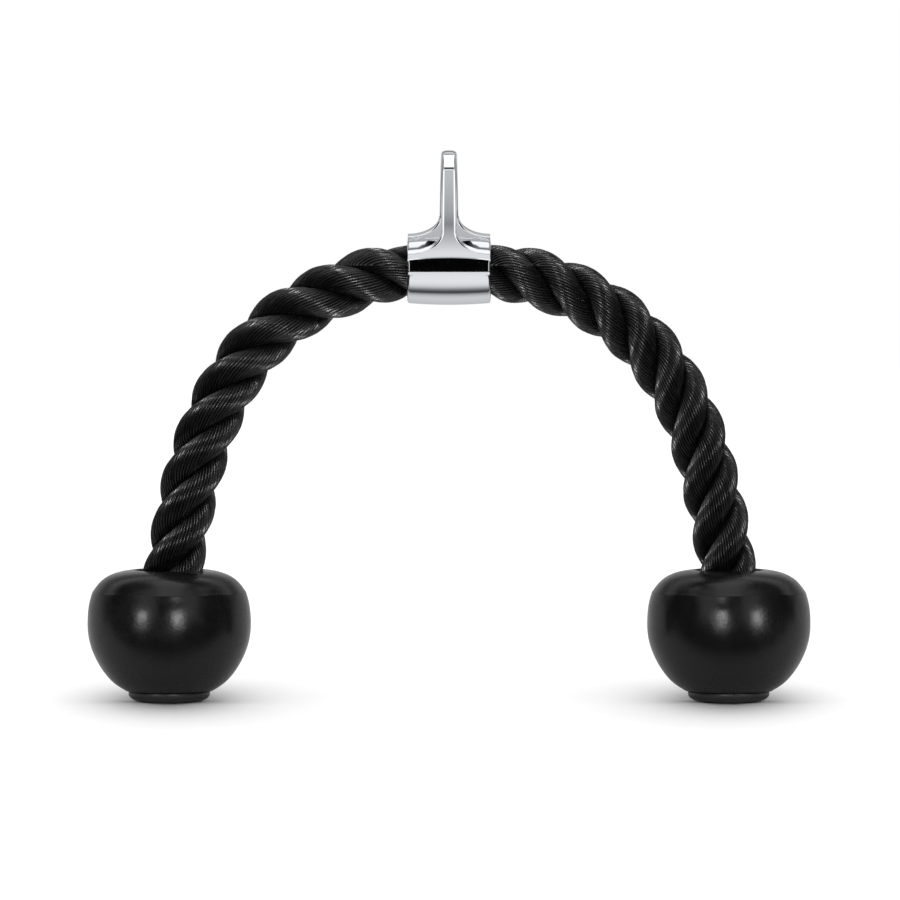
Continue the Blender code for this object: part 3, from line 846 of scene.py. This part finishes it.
def rubber_material():
    """Moulded rubber: satin, with a faint mottle and a skin of tiny dimples."""
    material, nodes, shader = new_material("rubber", RUBBER_DARK, roughness=0.24)
    shader.inputs["Specular IOR Level"].default_value = RUBBER_SPECULAR
    place = nodes.add("TexCoord").outputs["Object"]
    mottle = nodes.noise(place, scale=60.0, detail=5.0, roughness=0.65)
    dimples = nodes.noise(place, scale=620.0, detail=3.0, roughness=0.6)
    nodes.wire(nodes.mix_colours(mottle, RUBBER_DARK, RUBBER_LIGHT), shader.inputs["Base Color"])
    nodes.wire(nodes.fade(mottle, *NOISE_MIDDLE, *RUBBER_ROUGHNESS), shader.inputs["Roughness"])
    nodes.bump(shader, dimples, distance=0.00012, strength=0.5)
    return material


def plastic_material():
    """The cap's moulded plastic, a little greyer and finer than the rubber."""
    material, nodes, shader = new_material("cap_plastic", PLASTIC_COLOUR, roughness=0.34)
    place = nodes.add("TexCoord").outputs["Object"]
    grain = nodes.noise(place, scale=700.0, detail=3.0, roughness=0.6)
    nodes.wire(nodes.fade(grain, *NOISE_MIDDLE, *PLASTIC_ROUGHNESS), shader.inputs["Roughness"])
    nodes.bump(shader, grain, distance=0.00004, strength=0.5)
    return material


def chrome_material():
    """Polished chrome over a casting whose surface still waves a little."""
    material, nodes, shader = new_material("chrome", CHROME_COLOUR, roughness=0.05, metallic=1.0)
    place = nodes.add("TexCoord").outputs["Object"]
    waves = nodes.noise(place, scale=120.0, detail=2.0, roughness=0.5)
    haze = nodes.noise(place, scale=350.0, detail=3.0, roughness=0.6)
    nodes.wire(nodes.fade(haze, *NOISE_MIDDLE, *CHROME_ROUGHNESS), shader.inputs["Roughness"])
    nodes.bump(shader, waves, distance=0.00006, strength=0.35)
    return material


def turned_metal(name, colour, roughness):
    """Plain metal with fine rings from turning, for the parts inside the stoppers."""
    material, nodes, shader = new_material(name, colour, roughness, metallic=1.0)
    _, _, z = nodes.split(nodes.add("TexCoord").outputs["Object"])
    rings = nodes.noise(nodes.join(0.0, 0.0, z), scale=9000.0, detail=2.0, roughness=0.6)
    span = (roughness - TURNED_SMOOTHER, roughness + TURNED_ROUGHER)
    nodes.wire(nodes.fade(rings, *NOISE_MIDDLE, *span), shader.inputs["Roughness"])
    nodes.bump(shader, rings, distance=0.00005, strength=0.4)
    return material


def make_camera():
    """A long lens, so that one pixel is METRES_PER_PIXEL wide at the object."""
    data = bpy.data.cameras.new("camera")
    data.sensor_width = SENSOR_WIDTH
    data.lens = SENSOR_WIDTH * CAMERA_DISTANCE / (METRES_PER_PIXEL * PICTURE_SIDE)
    camera = new_object("camera", data)
    target = Vector(VIEW_CENTRE)
    back = Vector((0, -cos(CAMERA_ELEVATION), sin(CAMERA_ELEVATION)))
    camera.location = target + CAMERA_DISTANCE * back
    camera.rotation_euler = (-back).to_track_quat("-Z", "Y").to_euler()
    bpy.context.scene.camera = camera


def make_lamps(groups):
    """Small lamps, each lighting only the pieces of its own group."""
    lit = {}
    for name, pieces in groups.items():
        lit[name] = bpy.data.collections.new(f"lit_{name}")
        for piece in pieces:
            lit[name].objects.link(piece)
    for name, (place, target, power, spread, group) in LAMPS.items():
        data = bpy.data.lights.new(name, "AREA")
        data.size = LAMP_SIDE
        data.energy = power
        data.spread = spread
        lamp = new_object(name, data)
        lamp.location = place
        lamp.rotation_euler = (Vector(target) - Vector(place)).to_track_quat("-Z", "Y").to_euler()
        lamp.light_linking.receiver_collection = lit[group]
        lamp.light_linking.blocker_collection = lit[group]


def only_reflected(thing):
    """Hides a studio piece from everything but mirror and gloss rays."""
    thing.visible_camera = False
    thing.visible_diffuse = False
    thing.visible_transmission = False
    thing.visible_volume_scatter = False
    thing.visible_shadow = False


def emitter(name, make_level, one_sided=False):
    """A glowing material whose level comes from make_level(nodes); its back may let rays through."""
    material = bpy.data.materials.new(name)
    material.use_nodes = True
    material.cycles.emission_sampling = "NONE"
    tree = material.node_tree
    tree.nodes.remove(tree.nodes["Principled BSDF"])
    nodes = Nodes(tree)
    glow = nodes.add("Emission")
    nodes.wire(make_level(nodes), glow.inputs["Color"])
    surface = glow.outputs[0]
    if one_sided:
        mix = nodes.add("MixShader")
        clear = nodes.add("BsdfTransparent")
        tree.links.new(nodes.add("NewGeometry").outputs["Backfacing"], mix.inputs[0])
        tree.links.new(surface, mix.inputs[1])
        tree.links.new(clear.outputs[0], mix.inputs[2])
        surface = mix.outputs[0]
    tree.links.new(surface, tree.nodes["Material Output"].inputs["Surface"])
    return material


def dome_level(nodes):
    """The dome's light by direction: dark in front, a box overhead, strips, a pale backdrop."""
    place = nodes.add("VectorMath", operation="NORMALIZE")
    nodes.wire(nodes.add("TexCoord").outputs["Object"], place.inputs[0])
    x, y, z = nodes.split(place.outputs[0])
    angle = nodes.math("DEGREES", nodes.math("ARCTAN2", z, nodes.math("MULTIPLY", y, -1.0)))
    side = nodes.math("ABSOLUTE", x)
    box = nodes.math(
        "MULTIPLY", nodes.fade(angle, *BOX_FRONT), nodes.fade(angle, *BOX_BACK, 1.0, 0.0)
    )
    box = nodes.math("MULTIPLY", box, nodes.fade(side, *BOX_SIDE, BOX_LEVEL, 0.0))
    level = nodes.math("MAXIMUM", nodes.ramp(angle, DOME_LEVELS), box)
    low = nodes.math(
        "MULTIPLY", nodes.fade(z, *STRIP_BOTTOM), nodes.fade(y, *STRIP_BACK, 1.0, 0.0)
    )
    strip = nodes.math("MULTIPLY", low, nodes.fade(side, *STRIP_SIDE))
    level = nodes.math("MAXIMUM", level, nodes.math("MULTIPLY", strip, STRIP_LEVEL))
    ahead = nodes.fade(y, *DARK_BACK, 1.0, 0.0)
    dark = nodes.math("MULTIPLY", ahead, nodes.fade(side, *DARK_SIDE))
    return nodes.math("MULTIPLY", level, nodes.fade(dark, 0.0, 1.0, 1.0, DARK_LEVEL))


def card_level(name, stops):
    """A card's light by its distance behind the collar, with the margin or wedge of its own."""

    def level_of(nodes):
        x, y, _ = nodes.split(nodes.add("NewGeometry").outputs["Position"])
        side = nodes.math("ABSOLUTE", x)
        level = nodes.ramp(y, stops)
        if name == "strap_card":
            beside = nodes.fade(side, *MARGIN_SIDE)
            share = nodes.math("MULTIPLY", beside, nodes.fade(y, *MARGIN_BACK, 1.0, 0.0))
            other = MARGIN_LEVEL
        elif name == "top_card":
            first, second = (nodes.fade(side, *part) for part in WEDGE_BACK)
            behind = nodes.math("SUBTRACT", y, nodes.math("ADD", first, second))
            ahead = nodes.math("SUBTRACT", y, nodes.fade(side, *WEDGE_FRONT))
            share = nodes.fade(behind, *WEDGE_BACK_BLUR, 1.0, 0.0)
            share = nodes.math("MULTIPLY", nodes.fade(ahead, *WEDGE_FRONT_BLUR), share)
            other = nodes.fade(side, *WEDGE_LEVEL)
        else:
            return level
        return nodes.math("MULTIPLY_ADD", nodes.math("SUBTRACT", other, level), share, level)

    return level_of


def stage_mesh(name, points, faces, material):
    """A mesh that belongs to the studio and not to the object."""
    mesh = bpy.data.meshes.new(name)
    mesh.from_pydata(points, [], faces)
    mesh.materials.append(material)
    thing = new_object(name, mesh)
    return thing


def make_card(name, ends, front, back, height, faces_up, material):
    """A flat card that only reflections show, between two ends left and right."""
    left, right = sorted(ends)
    places = [(left, front), (right, front), (right, back), (left, back)]
    corners = [(*place, height) for place in places]
    only_reflected(stage_mesh(name, corners if faces_up else corners[::-1], [(0, 1, 2, 3)], material))


def make_studio():
    """The world's soft light, and for reflections a dome and cards that only they show."""
    scene = bpy.context.scene
    world = bpy.data.worlds.new("studio")
    scene.world = world
    world.use_nodes = True
    nodes = Nodes(world.node_tree)
    _, _, up = nodes.split(nodes.add("TexCoord").outputs["Generated"])
    light = nodes.math("MULTIPLY_ADD", nodes.math("MAXIMUM", up, 0.0), SKY_TOP_LEVEL, SKY_SIDE_LEVEL)
    seen = nodes.add("LightPath").outputs["Is Camera Ray"]
    background = world.node_tree.nodes["Background"]
    background.inputs["Color"].default_value = (1, 1, 1, 1)
    nodes.wire(nodes.math("MAXIMUM", light, seen), background.inputs["Strength"])
    world.cycles_visibility.glossy = False

    angles = np.linspace(0, tau, DOME_STEPS, endpoint=False)
    rings = np.linspace(-pi / 2, pi / 2, DOME_RINGS + 2)[1:-1]
    points = [
        (DOME_RADIUS * cos(r) * cos(a), DOME_RADIUS * cos(r) * sin(a), DOME_RADIUS * sin(r))
        for r in rings
        for a in angles
    ]
    faces = grid_faces(len(rings), len(angles)).tolist()
    count = len(points)
    faces += [list(range(DOME_STEPS)), list(range(count - DOME_STEPS, count))]
    dome = stage_mesh("dome", points, faces, emitter("dome", dome_level))
    dome.location = (0, 0, COLLAR_HEIGHT)
    only_reflected(dome)
    for name, (height, (inner, outer), faces_up, stops) in CARDS.items():
        glow = emitter(name, card_level(name, stops), one_sided=True)
        for side, sign in SIDE_SIGN.items():
            ends = (sign * inner, sign * outer)
            make_card(f"{name}_{side}", ends, stops[0][0], stops[-1][0], height, faces_up, glow)


def floor_height(y):
    """Level under the object, falling away in front of it and rising a little behind it."""
    reach = FLOOR_FALL_LENGTH if y < 0 else FLOOR_RISE_LENGTH
    away = max(0.0, abs(y) - FLOOR_FLAT)
    height = FLOOR_SLOPE * reach * (1 - exp(-away / reach))
    return -height if y < 0 else height


def make_floor():
    """A pale floor, tipped to the camera; mirrors see painted shade on it in front of the object."""
    colour = (FLOOR_COLOUR,) * 3
    material, nodes, shader = new_material("floor", colour, roughness=1.0)
    shader.inputs["Specular IOR Level"].default_value = 0.0
    _, y, _ = nodes.split(nodes.add("NewGeometry").outputs["Position"])
    # Painted reflection: gloss rays see the floor's colour fade from dark in front to grey behind
    mix = nodes.add("Mix", data_type="RGBA")
    nodes.wire(nodes.add("LightPath").outputs["Is Glossy Ray"], mix.inputs["Factor"])
    mix.inputs["A"].default_value = (*colour, 1)
    nodes.wire(nodes.fade(y, *FLOOR_PAINTED_REFLECTION), mix.inputs["B"])
    nodes.wire(mix.outputs["Result"], shader.inputs["Base Color"])
    outward = FLOOR_FLAT * (FLOOR_HALF_SIDE / FLOOR_FLAT) ** np.linspace(0, 1, FLOOR_STEPS)
    places = [*-outward[::-1], *outward]
    points = [(x, y, floor_height(y)) for y in places for x in (-FLOOR_HALF_SIDE, FLOOR_HALF_SIDE)]
    faces = [(2 * i, 2 * i + 1, 2 * i + 3, 2 * i + 2) for i in range(len(places) - 1)]
    floor = stage_mesh("floor", points, faces, material)
    floor.data.shade_smooth()


def main():
    """Builds the object and its studio."""
    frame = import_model()
    make_camera()
    rubber, plastic = rubber_material(), plastic_material()
    rope, chrome = rope_material(), chrome_material()
    lit = {"rope": [make_rope(side, rope) for side in SIDE_SIGN], "rubber": []}
    make_collar(chrome)
    for side, sign in SIDE_SIGN.items():
        stopper = turned(f"stopper_body_{side}", stopper_profile(), sign * STOPPER_X, rubber)
        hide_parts(f"stopper_{side}")
        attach(stopper, f"stopper_{side}")
        cap = turned(f"cap_{side}", cap_profile(), sign * STOPPER_X, plastic, closed=True)
        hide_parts(f"stopper_cap_{side}")
        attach(cap, f"stopper_{side}")
        lit["rubber"] += [stopper, cap]
    for name, look in METALS.items():
        metal = turned_metal(*look)
        for side in SIDE_SIGN:
            for slot in frame["nodes"][f"{name}_{side}"].material_slots:
                slot.link = "OBJECT"
                slot.material = metal
    make_floor()
    make_studio()
    bpy.context.scene.view_settings.view_transform = "Standard"
    make_lamps(lit)


main()
